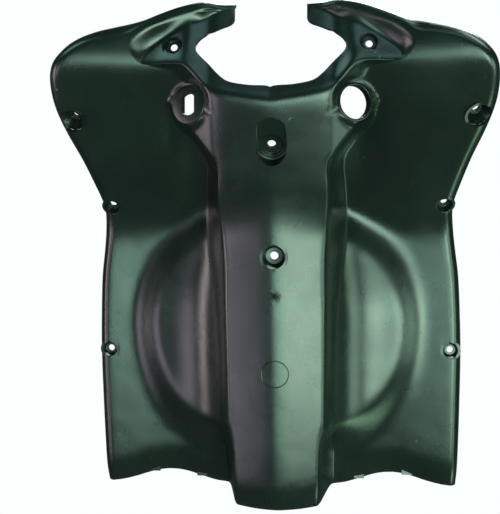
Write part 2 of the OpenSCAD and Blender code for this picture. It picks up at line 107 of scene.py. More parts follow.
class PanelStage(bpy.types.PropertyGroup):
    """Camera and lamps"""

    distance: bpy.props.FloatProperty(
        name="Distance", description="Camera distance from the panel", default=0.865, unit="LENGTH")
    aim: bpy.props.FloatVectorProperty(
        name="Aim", description="Place that the camera looks at, across and up", default=(-0.0228, 0.0006),
        size=2, unit="LENGTH")
    yaw: bpy.props.FloatProperty(
        name="Yaw", description="Turn of the camera round the upright axis",
        default=math.radians(4.47), subtype="ANGLE")
    pitch: bpy.props.FloatProperty(
        name="Pitch", description="Downward look of the camera", default=math.radians(0.39), subtype="ANGLE")
    roll: bpy.props.FloatProperty(
        name="Roll", description="Roll of the camera", default=math.radians(-0.14), subtype="ANGLE")
    focal_px: bpy.props.FloatProperty(
        name="Focal length", description="Focal length in pixels of the photograph", default=900.0)
    brightness: bpy.props.FloatProperty(
        name="Brightness", description="Strength of all lamps together", default=1.0)


def smooth(a, b, value):
    """Clamped blend from 0 at a to 1 at b."""
    t = min(1.0, max(0.0, (value - a) / (b - a)))
    return t * t * (3 - 2 * t)


def soft(value, radius):
    """Rounded max(value, 0)."""
    return (value + math.sqrt(value * value + radius * radius)) / 2


def ease(t, e=0.3):
    """Straight ramp from 0 to 1 with a round at each end."""
    if t <= 0:
        return 0.0
    if t >= 1:
        return 1.0
    if t < e:
        return t * t / (2 * e * (1 - e))
    if t > 1 - e:
        return 1 - (1 - t) * (1 - t) / (2 * e * (1 - e))
    return (t - e / 2) / (1 - e)


def curve(points, t):
    """Catmull-Rom curve through points, with t counted in points."""
    i = min(len(points) - 2, int(t))
    s = t - i
    a, b = points[max(0, i - 1)], points[i]
    c, d = points[i + 1], points[min(len(points) - 1, i + 2)]
    return [0.5 * (2 * q + (r - p) * s + (2 * p - 5 * q + 4 * r - w) * s * s
                   + (3 * q - p - 3 * r + w) * s * s * s) for p, q, r, w in zip(a, b, c, d)]


def look(value, table):
    """Smooth look-up in a table of (key, value) pairs."""
    if value <= table[0][0]:
        return table[0][1]
    if value >= table[-1][0]:
        return table[-1][1]
    i = max(j for j, entry in enumerate(table[:-1]) if entry[0] <= value)

    def slope(j):
        a, b = table[max(0, j - 1)], table[min(len(table) - 1, j + 1)]
        return (b[1] - a[1]) / (b[0] - a[0])

    h = table[i + 1][0] - table[i][0]
    s = (value - table[i][0]) / h
    return ((2 * s ** 3 - 3 * s ** 2 + 1) * table[i][1] + (s ** 3 - 2 * s ** 2 + s) * h * slope(i)
            + (3 * s ** 2 - 2 * s ** 3) * table[i + 1][1] + (s ** 3 - s ** 2) * h * slope(i + 1))


class Form:
    """The rider's face of the moulding, worked out from its sizes. Lengths are in millimetres."""

    WAIST_Z, BEND_Z, EAR_Z, LIP_Z, NOTCH_Z = 48, 34, 155, 142, 154
    GAP_X, NOTCH_X, LOCK_X, LOCK_Z, RING_D = 33, 68, 76.5, 142, 36
    SIDE_RUN, RIM_W, WING_RISE = 18, 10, 30
    LOW_SLOPE, FRONT_LEAN, WING_LEAN, PLATE_LEAN = math.tan(math.radians(8)), 28, 42, 27
    RIDGE_SLOPE, WING_TILT, LOCK_TURN = 0.22, 0.15, math.radians(27)
    ARCH_STEP, ARCH_SWELL, ARCH_REACH, ARCH_DROP = 10, 32, 78, 72
    # Height of a wheel arch above and below its middle, and where its soft edge starts and ends
    ARCH_UP, ARCH_DOWN, ARCH_EDGE = 106, 121, (0.80, 1.20)
    RIM_DEPTH, LIP_DEPTH, SKIRT_H, SKIRT_BACK = 11, 5, 24, 9
    LOCK_D, SLOT_W, SLOT_H, RING_LIFT, SLEEVE_L = 31, 13.5, 20, 1.2, 8.4
    POCKET_W, POCKET_L, POCKET_LEAN, POCKET_SCREW_Z, POCKET_SEAT = 28, 46, 40, 104, 22
    CIRCLE_D, CIRCLE_Z, GATE_Z = 26.5, -115, -38
    # Middle of the wall under the column screw's head, from the face
    CLAMP = (0.0, 11.1283, 1.96222)
    # Number of the station at which the centre line opens into the notch
    NOTCH = 14

    def __init__(self, sizes):
        self.wall = sizes.wall / MM
        self.tunnel_x = sizes.tunnel_width / 2 / MM
        self.foot_x = self.tunnel_x + self.SIDE_RUN
        self.tunnel_depth = sizes.tunnel_depth / MM
        self.tip = sizes.tip_depth / MM
        self.edge_z = self.WING_RISE - self.tip
        self.ear_x, self.waist_x, self.body_x = (
            w / 2 / MM for w in (sizes.ear_width, sizes.waist_width, sizes.body_width))
        self.front_slope = math.tan(math.radians(self.FRONT_LEAN)) - self.LOW_SLOPE
        self.wing_slope = math.tan(math.radians(self.WING_LEAN)) - math.tan(math.radians(self.FRONT_LEAN))
        self.set_lines(sizes.top_height / MM)
        self.pad_y = self.spine(self.LOCK_Z) + 23

    def set_lines(self, top):
        """The feature lines of the right half, station by station, from the bottom to the arm's end."""
        tip, bend, waist, lip, notch_z, ear = (
            -self.tip, self.BEND_Z - 4, self.WAIST_Z + 4, self.LIP_Z, self.NOTCH_Z, self.EAR_Z)
        nx, gap, tx, fx = self.NOTCH_X, self.GAP_X, self.tunnel_x, self.foot_x
        lx, lz, ex, wx, bx = self.LOCK_X, self.LOCK_Z, self.ear_x, self.waist_x, self.body_x
        rw = self.RIM_W
        inner = [
            (0, tip), (0, tip + 46), (0, -160), (0, -105), (0, -60), (0, -20), (0, 8), (0, bend),
            (0, waist), (0, 72), (0, 92), (0, 110), (0, lip - 15), (0, lip - 1), (0, notch_z),
            (nx - 48, notch_z + 2), (nx - 30, notch_z + 5.5), (nx - 20, notch_z + 13),
            (nx - 11, notch_z + 23), (nx - 2, notch_z + 32), (nx, notch_z + 37.5), (nx - 2, notch_z + 42),
            (nx - 6, notch_z + 47), (nx - 13, top - 29.5), (gap + 13, top - 25.5), (gap + 5, top - 22.5),
            (gap + 1.5, top - 20), (gap, top - 17)]
        crest = [
            (tx - 3.5, tip), (tx - 2.5, tip + 46), (tx - 1.5, -160), (tx - 0.5, -105), (tx, -60),
            (tx + 1, -20), (tx + 2.5, 8), (tx + 5, bend), (tx + 7, waist), (tx + 6.5, 72), (tx + 4, 93),
            (tx + 3.5, 112), (tx + 6.5, lip - 13), (tx + 10, lip - 2), (tx + 13, lip + 10.5),
            (tx + 17, lip + 15), (tx + 21.5, lip + 20.5), (tx + 27.5, lip + 28), (tx + 35.5, lip + 34),
            (tx + 48.5, ear + 22.5), (tx + 62.5, ear + 22.5), (tx + 74.5, ear + 23), (tx + 69, ear + 32.5),
            (tx + 54.5, ear + 43), (gap + 45, top - 26.5), (gap + 27, top - 19.5), (gap + 13, top - 15.5),
            (gap, top - 13)]
        foot = [
            (fx - 3, tip), (fx - 2, tip + 47), (fx - 1, -160), (fx, -104), (fx + 1.5, -60), (fx + 6, -20),
            (fx + 10.5, 8), (fx + 12, bend), (fx + 11.5, waist), (fx + 9.5, 73), (fx + 7.5, 94),
            (lx - 1, lz - 31.5), (lx + 11.5, lz - 14.5), (lx + 24.5, lz + 4), (lx + 20, lz + 15.5),
            (fx + 29.5, lip + 24.5), (fx + 30, lip + 27.5), (fx + 31, lip + 29.8), (fx + 34.5, ear + 18.3),
            (fx + 40.5, ear + 19.6), (fx + 50.5, ear + 21), (fx + 61, ear + 25), (fx + 68, ear + 39),
            (fx + 56, ear + 52.5), (gap + 67, top - 20), (gap + 48, top - 12), (gap + 29, top - 8.5),
            (gap, top - 7)]
        arch = [
            (fx + 55, tip), (fx + 46, tip + 49), (fx + 62, -158), (fx + 75, -103),
            (fx + self.ARCH_REACH, -60), (fx + 70, -20), (fx + 58, 8), (fx + 50, bend), (fx + 50, waist),
            (fx + 56, 74), (fx + 62, 97), (fx + 68, 119), (fx + 72, ear - 17), (fx + 78, ear),
            (fx + 82, ear + 11.5), (fx + 82.5, ear + 14.5), (fx + 83, ear + 17), (fx + 83, ear + 19),
            (fx + 82.5, ear + 21), (fx + 82, ear + 22.5), (fx + 81, ear + 24), (fx + 78.5, ear + 30),
            (fx + 71, ear + 43.5), (fx + 56.4, ear + 54), (gap + 67.6, top - 18.5), (gap + 48.4, top - 10.5),
            (gap + 29.2, top - 7), (gap, top - 5.7)]
        rim = [
            (bx - rw, tip + 9.5), (bx - rw, tip + 53), (bx - rw, -156), (bx - rw, -102),
            (bx - rw - 1, -60), (bx - rw - 4, -20), (bx - rw - 8, 8), (wx - rw + 1, bend), (wx - rw, waist),
            (wx - rw + 5, 74), (ex - rw - 15.5, 97), (ex - rw - 7.5, 119), (ex - rw - 1.5, ear - 17),
            (ex - rw, ear - 2), (ex - rw - 2, ear + 13), (ex - rw - 7, ear + 22), (ex - rw - 14, ear + 30),
            (ex - rw - 22, ear + 35), (ex - rw - 31, ear + 39.5), (ex - 50, ear + 41.8),
            (ex - 58, ear + 43.2), (ex - 67, ear + 44.4), (ex - 74, ear + 46), (fx + 56.8, ear + 55.5),
            (gap + 68, top - 17), (gap + 48.8, top - 9), (gap + 29.4, top - 5.5), (gap, top - 4.4)]
        outline = [
            (bx - 1.5, tip + 10), (bx - 0.5, tip + 54), (bx, -156), (bx, -102), (bx - 1.5, -60),
            (bx - 4, -20), (bx - 8, 8), (wx + 2, bend), (wx, waist), (wx + 5.5, 74), (ex - 15.5, 97),
            (ex - 7, 119), (ex - 1.5, ear - 17), (ex, ear - 1), (ex - 1.5, ear + 14), (ex - 5.5, ear + 25),
            (ex - 12, ear + 33.5), (ex - 21, ear + 42), (ex - 33, ear + 49), (ex - 47, ear + 54.2),
            (ex - 58, ear + 57), (ex - 68, ear + 59.3), (ex - 78, ear + 61.5), (ex - 91, ear + 65),
            (gap + 68, top - 10), (gap + 50, top - 4), (gap + 29, top), (gap, top - 0.5)]
        self.lines = [inner, crest, foot, arch, rim, outline]
        self.bottom = [
            (0, tip), (20, tip + 1.5), (tx - 7, tip + 4), (tx + 1.5, tip + 6), (tx + 8, tip + 8),
            (fx - 2, tip + 10), (fx + 10, self.edge_z - 17.5), (fx + 27, self.edge_z - 11),
            (fx + 42, self.edge_z - 5), (fx + 57, self.edge_z - 2), (fx + 72, self.edge_z - 4),
            (fx + 86, self.edge_z - 8.5), (fx + 95, self.edge_z - 12), (bx - 18, tip + 13),
            (bx - 6, tip + 11), (bx, tip + 10.5)]
        self.lip_edge = [(0, lip), (20, lip + 2.6), (tx - 2, lip + 6)]
        self.lip_edge += crest[self.NOTCH:22] + [(ex, ear + 21.5)]
        depth = self.RIM_DEPTH
        self.rim_fall = [
            (0, depth), (8, depth - 1), (13, depth - 2), (17, depth + 2), (22, depth + 2), (27, depth - 5)]

    def spine(self, z):
        """Depth of the tunnel's middle line at a height."""
        bend = soft(z - self.BEND_Z, 25) - soft(-self.BEND_Z, 25)
        return -self.LOW_SLOPE * z - self.front_slope * bend

    def front_face(self, u, z):
        """Depth of the tunnel front, and of the yoke plate above its lip."""
        above = z - look(u, self.lip_edge)
        h = z - soft(above, 5)
        ridge = self.RIDGE_SLOPE * (1 - 0.7 * smooth(10, 75, h))
        flare = 24 * (1 - math.exp(-soft(u - self.tunnel_x - 12, 6) / 24))
        plate = math.tan(math.radians(self.PLATE_LEAN)) * soft(above, 5) - 0.3 * soft(above - 15, 8)
        return self.spine(h) + ridge * (math.sqrt(u * u + 64) - 8) + flare + plate

    def arch_ring(self, u, z):
        """0 at the middle of a wheel arch, 1 at its edge."""
        height = self.ARCH_UP if z > -self.ARCH_DROP else self.ARCH_DOWN
        return math.hypot((u - self.foot_x) / self.ARCH_REACH, (z + self.ARCH_DROP) / height)

    def wing_face(self, u, z):
        """Depth of the wing floor, with the arch and the hollow beside the tunnel."""
        out = u - self.foot_x
        rest = (self.spine(z) + self.tunnel_depth - self.wing_slope * soft(z - self.BEND_Z, 20)
                + math.tan(math.radians(self.WING_LEAN)) * soft(z - self.EAR_Z - 23, 14)
                - self.WING_TILT * soft(out - 8, 10))
        swell = self.ARCH_STEP + self.ARCH_SWELL * math.exp(-(out - 3) / 26)
        inside = 1 - smooth(*self.ARCH_EDGE, self.arch_ring(u, z))
        arch = swell * (1 - 0.35 * smooth(-60, 30, z)) * inside
        hollow = 12 * math.exp(-((out - 22) / 22) ** 2 - ((z - 120) / 34) ** 2)
        return rest - arch + hollow

    def pad_face(self, u):
        """Depth of the flat seat that carries a lock ring."""
        return self.pad_y + (u - self.LOCK_X) * math.tan(self.LOCK_TURN)

    def with_pad(self, u, z, y, front):
        """The face with the pad beside the tunnel and the round seat of the ring."""
        across, up = self.LOCK_X + 21.5 - u, z - self.LOCK_Z - 4
        pad = smooth(-2, 2, min(0.886 * across - 0.463 * up, 0.803 * across + 0.596 * up))
        plane = self.pad_face(u) + 0.55 * soft(self.LOCK_Z - 17 - z, 5)
        r = math.hypot((u - self.LOCK_X) / math.cos(self.LOCK_TURN), z - self.LOCK_Z)
        seat = 1 - smooth(self.RING_D / 2 + 0.5, self.RING_D / 2 + 4, r)
        padded = y + pad * (max(front, min(y, plane)) - y)
        return padded + seat * (self.pad_face(u) - padded)

    def point(self, knots, t, s):
        """Point of the face at column s of a row of knots."""
        i = min(4, int(s))
        f = min(1.0, s - i)
        u, height = (a + (b - a) * f for a, b in zip(knots[i], knots[i + 1]))
        u = max(0.0, u)
        edge = look(u, self.bottom)
        z = height + (edge + self.tip - u * 10 / self.body_x) * (1 - smooth(-self.tip, -150, height))
        roll = min(1.0, max(0.0, s - 4))
        skirt = max(0.0, 1 - (z - edge) / self.SKIRT_H)
        front = self.front_face(u, z)
        y = self.with_pad(u, z, front + (self.wing_face(u, z) - front) * ease(s - 1), front)
        y += look(t, self.rim_fall) * roll * roll + self.SKIRT_BACK * skirt * skirt
        return self.place(u, y + self.LIP_DEPTH * max(0.0, s - 5), z)

    @classmethod
    def place(cls, u, y, z):
        """A point of the form, in metres in the part's frame."""
        return (Vector((u, y, z)) - Vector(cls.CLAMP)) * MM


def only(obj):
    """Makes obj the one selected and active object."""
    bpy.ops.object.select_all(action="DESELECT")
    obj.select_set(True)
    bpy.context.view_layer.objects.active = obj
    return obj


def apply_modifier(obj, kind, **settings):
    """Adds a modifier to obj and applies it."""
    modifier = obj.modifiers.new(kind.title(), kind)
    for name, value in settings.items():
        setattr(modifier, name, value)
    only(obj)
    bpy.ops.object.modifier_apply(modifier=modifier.name)


def combine(obj, others, operation):
    """Adds other solids to obj, cuts them out of it or keeps what they share."""
    for other in others:
        apply_modifier(obj, "BOOLEAN", object=other, operation=operation, solver="MANIFOLD")
        bpy.data.objects.remove(other)


# Cells between one pair of feature lines, and rows between one pair of stations
BAND_CELLS = (18, 22, 18, 10, 8, 2)
ROW_CELLS = (6, 12, 10, 8, 6, 6, 5, 5, 5, 5, 9, 12, 12, 10, 4, 4, 4, 4, 4, 4, 4, 5, 5, 5, 5, 5, 5)


def spread(cells):
    """Parameters of the lines between cells, counted in bands."""
    marks = [i + j / n for i, n in enumerate(cells) for j in range(n)]
    return marks + [len(cells)]


def make_face(form):
    """The face of both halves, from a grid laid along the right half's feature lines."""
    columns, rows = spread(BAND_CELLS), spread(ROW_CELLS)
    bpy.ops.object.select_all(action="DESELECT")
    bpy.ops.mesh.primitive_grid_add(
        x_subdivisions=len(columns) - 1, y_subdivisions=len(rows) - 1, size=1)
    face = bpy.context.active_object
    face.name = face.data.name = "moulding"
    knots = [[curve(line, t) for line in form.lines] for t in rows]
    for vertex in face.data.vertices:
        column = round((vertex.co.x + 0.5) * (len(columns) - 1))
        row = round((vertex.co.y + 0.5) * (len(rows) - 1))
        vertex.co = form.point(knots[row], rows[row], columns[column])
    apply_modifier(face, "MIRROR", use_axis=(True, False, False), merge_threshold=1e-6)
    soften(face)
    return face


def soften(face):
    """Evens out the face between its free edges, which stay as they are."""
    only(face)
    bpy.ops.object.mode_set(mode="EDIT")
    bpy.ops.mesh.select_mode(type="VERT")
    bpy.ops.mesh.select_all(action="DESELECT")
    bpy.ops.mesh.select_non_manifold()
    bpy.ops.mesh.select_all(action="INVERT")
    bpy.ops.object.vertex_group_add()
    bpy.context.scene.tool_settings.vertex_group_weight = 1.0
    bpy.ops.object.vertex_group_assign()
    bpy.ops.object.mode_set(mode="OBJECT")
    apply_modifier(face, "SMOOTH", factor=0.5, iterations=5, vertex_group=face.vertex_groups[0].name)
    face.vertex_groups.clear()


def corner(radius, height, size, turn, steps=5):
    """Points of a quarter round in a turned profile. turn is 1 for a mouth and -1 for a foot."""
    points = []
    for i in range(steps + 1):
        a = math.radians(90 * i / steps)
        if turn > 0:
            points.append((radius + size * (1 - math.sin(a)), height + size * (1 - math.cos(a))))
        else:
            points.append((radius - size * (1 - math.cos(a)), height - size * (1 - math.sin(a))))
    return points


def turned(name, profile, matrix, sides=64):
    """A solid turned about its own Z axis from (radius, depth) points, set in place by matrix."""
    mesh = bpy.data.meshes.new(name)
    mesh.from_pydata([(r, 0.0, z) for r, z in profile], [(i, i + 1) for i in range(len(profile) - 1)], [])
    obj = bpy.data.objects.new(name, mesh)
    bpy.context.collection.objects.link(obj)
    apply_modifier(obj, "SCREW", steps=sides, render_steps=sides, use_merge_vertices=True,
                   merge_threshold=1e-4)
    return settle(obj, matrix)


def settle(obj, matrix):
    """Moves a helper solid from the form's millimetres to its place, with its faces outward."""
    obj.data.transform(Matrix.Scale(MM, 4) @ Matrix.Translation(-Vector(Form.CLAMP)) @ matrix)
    only(obj)
    bpy.ops.object.mode_set(mode="EDIT")
    bpy.ops.mesh.select_all(action="SELECT")
    bpy.ops.mesh.normals_make_consistent(inside=False)
    bpy.ops.object.mode_set(mode="OBJECT")
    return obj


def block(name, low, high, matrix):
    """A box between two corners."""
    bpy.ops.mesh.primitive_cube_add(size=1)
    obj = bpy.context.active_object
    obj.name = name
    size, middle = Vector(high) - Vector(low), (Vector(high) + Vector(low)) / 2
    obj.data.transform(Matrix.Translation(middle) @ Matrix.Diagonal((*size, 1.0)))
    return settle(obj, matrix)


def capsule(name, width, length, height, matrix, edge):
    """A bar with round ends, hanging down +Y from its top end, with its lower rim rounded."""
    bpy.ops.mesh.primitive_cylinder_add(vertices=96, radius=width / 2, depth=height)
    obj = bpy.context.active_object
    obj.name = name
    for vertex in obj.data.vertices:
        stretch = length - width if vertex.co.y > 0 else 0.0
        vertex.co = (vertex.co.x, vertex.co.y + width / 2 + stretch, vertex.co.z + height / 2)
    apply_modifier(obj, "BEVEL", width=edge, segments=3, limit_method="ANGLE",
                   angle_limit=math.radians(60))
    return settle(obj, matrix)


def turn(axis, degrees):
    """A rotation about one axis."""
    return Matrix.Rotation(math.radians(degrees), 4, axis)


class Screw:
    """A stepped cup on the face, with its hole."""

    # Roundings of the mouth, the foot and the hole, and the hole of an M6 screw
    MOUTH_ROUND, FOOT_ROUND, HOLE_ROUND, M6_HOLE = 0.9, 0.7, 0.3, 6.6
    # In a cup that leans less than this, the hole runs straight back
    STRAIGHT_BELOW = 10

    def __init__(self, form, x, z, y, mouth, seat, depth, lean, out, hole):
        self.x, self.z, self.y = x, z, y
        self.mouth, self.seat, self.depth, self.hole = mouth / 2, seat / 2, depth, hole / 2
        self.lean, self.out, self.wall = lean, out, form.wall

    def place(self, side):
        """Matrix of the cup's mouth, with Z into the panel."""
        return (Matrix.Translation((side * self.x, self.y, self.z))
                @ turn("Y", -side * self.out) @ turn("X", -90 + self.lean))

    def body(self, side):
        """The outside of the cup, behind the face."""
        w, start = self.wall, self.wall / 2
        foot = self.depth + w
        profile = [(0, start), (self.mouth + w, start), *corner(self.seat + w, foot, 1.0, -1), (0, foot)]
        return turned("cup_body", profile, self.place(side))

    def hollow(self, side):
        """The inside of the cup, with a rounded mouth and a rounded foot."""
        flare = self.MOUTH_ROUND
        profile = [(0, -14), (self.mouth + flare, -14), *corner(self.mouth, 0, flare, 1),
                   *corner(self.seat, self.depth, self.FOOT_ROUND, -1), (0, self.depth)]
        return turned("cup_hollow", profile, self.place(side))

    def bore(self, side):
        """The hole through the seat."""
        edge, start, end = self.HOLE_ROUND, self.depth - 2, self.depth + 12
        matrix = self.place(side)
        if self.lean < self.STRAIGHT_BELOW:
            drop = self.depth * math.sin(math.radians(self.lean))
            seat = (side * self.x, self.y + self.depth, self.z + drop)
            matrix = Matrix.Translation(seat) @ turn("X", -90) @ Matrix.Translation((0, 0, -self.depth))
        profile = [(0, start), (self.hole + edge, start), *corner(self.hole, self.depth, edge, 1, 3),
                   (self.hole, end), (0, end)]
        return turned("screw_bore", profile, matrix, 48)


def screws(form):
    """The screws as (screw, sides) pairs."""
    def wing(x, z, lift=0.0):
        return x, z, form.wing_face(x, z) + lift
    yoke_x, yoke_z = 89, form.LIP_Z + 52.5
    pair, m6 = (-1, 1), Screw.M6_HOLE
    # Place, then width of mouth and seat, depth, lean and outward turn, hole
    return [
        (Screw(form, *wing(form.ear_x - 15.5, form.EAR_Z - 24, 1.5), 22, 12, 9, 52, 20, m6), pair),
        (Screw(form, *wing(form.waist_x - 9, form.WAIST_Z + 3), 15.5, 12, 7, 40, 8, m6), pair),
        (Screw(form, *wing(form.body_x - 11.5, -98), 15.5, 12, 7, 8, 0, m6), pair),
        (Screw(form, yoke_x, yoke_z, form.front_face(yoke_x, yoke_z), 16.5, 12, 5, -10, 0, m6), pair),
        (Screw(form, 0, 0, 0, 22.5, 17, 10, 10, 0, 8), (1,)),
    ]


def pocket_place(form):
    """Matrix of the slanted pocket's top, with Y down its floor and Z into the panel."""
    top = form.LIP_Z - 15
    return Matrix.Translation((0, form.front_face(0, top), top)) @ turn("X", -90 + form.POCKET_LEAN)


def pocket_body(form):
    """The walls of the slanted pocket, behind the tunnel front."""
    w, width, length = form.wall, form.POCKET_W, form.POCKET_L
    matrix = pocket_place(form)
    bar = capsule("pocket_body", width + 2 * w, length + 2 * w, width / 2 + w + 2,
                  matrix @ Matrix.Translation((0, -w, -width / 2)), 1.0)
    tilt = matrix @ turn("X", form.FRONT_LEAN - form.POCKET_LEAN)
    behind = block("behind_face", (-width, -width / 2, w / 2), (width, 2 * length, width), tilt)
    combine(bar, [behind], "INTERSECT")
    return bar


def pocket_hollow(form):
    """The inside of the slanted pocket, its round seat and the hole in it."""
    width, length = form.POCKET_W, form.POCKET_L
    matrix = pocket_place(form)
    main = capsule("pocket_hollow", width, length, width,
                   matrix @ Matrix.Translation((0, 0, -width)), 1.2)
    drop = (form.LIP_Z - 15 - form.POCKET_SCREW_Z) / math.cos(math.radians(form.POCKET_LEAN))
    seat, deep, hole = form.POCKET_SEAT / 2, 2.0, 4.0
    step = [(0, -1), (seat + 0.5, -1), *corner(seat, 0, 0.5, 1, 3),
            *corner(seat - 1, deep, 0.6, -1, 3), (0, deep)]
    bore = [(0, 1), (hole + 0.3, 1), *corner(hole, deep, 0.3, 1, 3), (hole, width), (0, width)]
    place = matrix @ Matrix.Translation((0, drop, 0))
    return [main, turned("pocket_seat", step, place), turned("pocket_bore", bore, place, 48)]


def lock_place(form, side):
    """Matrix of the middle of a ring, with Z into the panel."""
    return (Matrix.Translation((side * form.LOCK_X, form.pad_y, form.LOCK_Z))
            @ turn("Z", side * math.degrees(form.LOCK_TURN)) @ turn("X", -90))


def ring(form, side, length):
    """The raised ring round the lock hole or the key slot, and its sleeve."""
    r, lift = form.RING_D / 2, form.RING_LIFT
    profile = [(0, -lift)] + [(p, -lift + q) for p, q in (
        (r - 0.9, 0), (r - 0.45, 0.12), (r - 0.12, 0.45), (r, 0.9))]
    profile += [*corner(r, length - lift, 0.5, -1, 3), (0, length - lift)]
    return turned("ring", profile, lock_place(form, side), 96)


def lock_hole(form):
    """The lock hole with its rounded front edge."""
    r, lift = form.LOCK_D / 2, form.RING_LIFT
    profile = [(0, -20), (r + 0.6, -20), *corner(r, -lift, 0.6, 1), (r, 20), (0, 20)]
    return turned("lock_hole", profile, lock_place(form, 1), 96)


def key_slot(form):
    """The flat-sided key slot."""
    place = lock_place(form, -1)
    r, half = form.SLOT_H / 2, form.SLOT_W / 2
    slot = turned("key_slot", [(0, -20), (r, -20), (r, 20), (0, 20)], place, 96)
    flats = block("flats", (-half, -2 * r, -21), (half, 2 * r, 21), place)
    combine(slot, [flats], "INTERSECT")
    return slot


def tongues(form):
    """Short tongues behind the bottom edge that hook into the footboard."""
    half, pieces = (5.5, 4), []
    for side in (-1, 1):
        for u in (form.foot_x + 25, form.foot_x + 76):
            z = look(u, form.bottom)
            y = form.wing_face(u, z) + form.SKIRT_BACK
            low = (side * u - half[0], y + form.wall / 3, z - half[1])
            high = (side * u + half[0], y + form.wall / 3 + 0.8 * form.wall, z + half[1])
            pieces.append(block("tongue", low, high, Matrix()))
    return pieces


def groove(form):
    """A thin ring that follows the tunnel front, for the engraved circle."""
    bpy.ops.mesh.primitive_torus_add(
        major_segments=120, minor_segments=8, major_radius=form.CIRCLE_D / 2, minor_radius=0.55,
        rotation=(math.radians(90), 0.0, 0.0))
    obj = bpy.context.active_object
    bpy.ops.object.transform_apply(location=False, rotation=True, scale=False)
    for vertex in obj.data.vertices:
        u, z = vertex.co.x, vertex.co.z + form.CIRCLE_Z
        vertex.co = (u, vertex.co.y + form.front_face(abs(u), z) - 0.15, z)
    return settle(obj, Matrix())


def gate_mark(form):
    """The low pip of the moulding gate."""
    z = form.GATE_Z
    place = Matrix.Translation((0, form.front_face(0, z), z)) @ turn("X", -90 + 8)
    profile = [(0, -0.25), (1.1, -0.3), (1.5, -0.7), (2.2, -0.65), (2.6, -0.2), (2.6, 1), (0, 1)]
    return turned("gate_mark", profile, place, 32)


def make_moulding(sizes):
    """The whole moulding as one closed mesh."""
    form = Form(sizes)
    face = make_face(form)
    apply_modifier(face, "SOLIDIFY", thickness=sizes.wall, offset=-1.0, use_quality_normals=True)
    apply_modifier(face, "BEVEL", width=sizes.edge_round, segments=2, limit_method="ANGLE",
                   angle_limit=ROUNDED_OVER)
    cups = [(screw, side) for screw, sides in screws(form) for side in sides]
    added = [screw.body(side) for screw, side in cups]
    added += [pocket_body(form), *tongues(form), gate_mark(form)]
    added += [ring(form, -1, form.RING_LIFT + form.wall + 1), ring(form, 1, form.SLEEVE_L)]
    combine(face, added, "UNION")
    cut = [part for screw, side in cups for part in (screw.hollow(side), screw.bore(side))]
    cut += [*pocket_hollow(form), lock_hole(form), key_slot(form), groove(form)]
    combine(face, cut, "DIFFERENCE")
    only(face)
    bpy.ops.object.shade_smooth_by_angle(angle=SHARP_OVER)
    return face


class Nodes:
    """Short ways to build a node tree whose textures follow Object coordinates."""

    def __init__(self, tree):
        self.tree = tree
        self.place = self.add("ShaderNodeTexCoord").outputs["Object"]

    def add(self, kind, inputs=None, **settings):
        """Adds a node. An input given as a socket is linked, and any other is set."""
        node = self.tree.nodes.new(kind)
        for name, value in settings.items():
            setattr(node, name, value)
        for name, value in (inputs or {}).items():
            if isinstance(value, bpy.types.NodeSocket):
                self.tree.links.new(value, node.inputs[name])
            else:
                node.inputs[name].default_value = value
        return node

    def math(self, operation, a, b):
        """One sum of two numbers."""
        return self.add("ShaderNodeMath", {0: a, 1: b}, operation=operation).outputs[0]

    def noise(self, scale, detail, place=None):
        """Noise from 0 to 1."""
        return self.add("ShaderNodeTexNoise", {
            "Vector": place or self.place, "Scale": scale, "Detail": detail}).outputs["Fac"]

    def ramp(self, value, low, high, start=0.0, end=1.0):
        """Blends from start at low to end at high."""
        return self.add("ShaderNodeMapRange", {
            "Value": value, "From Min": low, "From Max": high,
            "To Min": start, "To Max": end}).outputs["Result"]

    def bump(self, height, distance, normal=None):
        """A normal roughened by a height."""
        inputs = {"Height": height, "Distance": distance}
        if normal:
            inputs["Normal"] = normal
        return self.add("ShaderNodeBump", inputs).outputs["Normal"]

    def seen_from_front(self, x, z, tilt=0.0, size=(1.0, 1.0)):
        """Place across the panel from a point of the form, turned and counted in its own size."""
        shifted = self.add("ShaderNodeVectorMath", {0: self.place, 1: Form.place(x, 0, z)},
                           operation="SUBTRACT").outputs[0]
        facing = self.add("ShaderNodeMapping", {
            "Vector": shifted, "Rotation": (0.0, math.radians(tilt), 0.0)}).outputs[0]
        scale = (1 / (size[0] * MM), 0.0, 1 / (size[1] * MM))
        return self.add("ShaderNodeVectorMath", {0: facing, 1: scale}, operation="MULTIPLY").outputs[0]

    def spot(self, x, z, tilt, size):
        """1 inside a small oval mark and 0 round it."""
        place = self.seen_from_front(x, z, tilt, size)
        reach = self.add("ShaderNodeVectorMath", {0: place}, operation="LENGTH").outputs["Value"]
        return self.ramp(reach, 0.7, 1.0, 1.0, 0.0)


# Single marks on the face: place across and up, tilt in degrees, half length and half width
MARKS = (
    (17.5, 125.5, 36, (2.6, 0.35)),
    (-203, 167, 0, (0.8, 0.6)), (-201, 173, 20, (1.0, 0.5)), (-198, 156, 70, (1.4, 0.5)),
    (94, 184, 10, (0.9, 0.7)), (98, 180, 60, (1.3, 0.4)), (146, -196, 0, (0.9, 0.7)),
)


def grain(nodes, form):
    """Fine satin grain over slow waves, and the flow star round the gate."""
    waves = nodes.bump(nodes.noise(16.0, 2.0), 0.0009)
    fine = nodes.bump(nodes.noise(1500.0, 2.0), 0.00008, waves)
    place = nodes.seen_from_front(0, form.GATE_Z)
    reach = nodes.add("ShaderNodeVectorMath", {0: place}, operation="LENGTH").outputs["Value"]
    outward = nodes.add("ShaderNodeVectorMath", {0: place}, operation="NORMALIZE").outputs[0]
    rays = nodes.noise(4.0, 3.0, outward)
    star = nodes.math("MULTIPLY", nodes.ramp(rays, 0.4, 0.7), nodes.ramp(reach, 2.5, 9.0, 1.0, 0.0))
    return nodes.bump(star, 0.0006, fine)


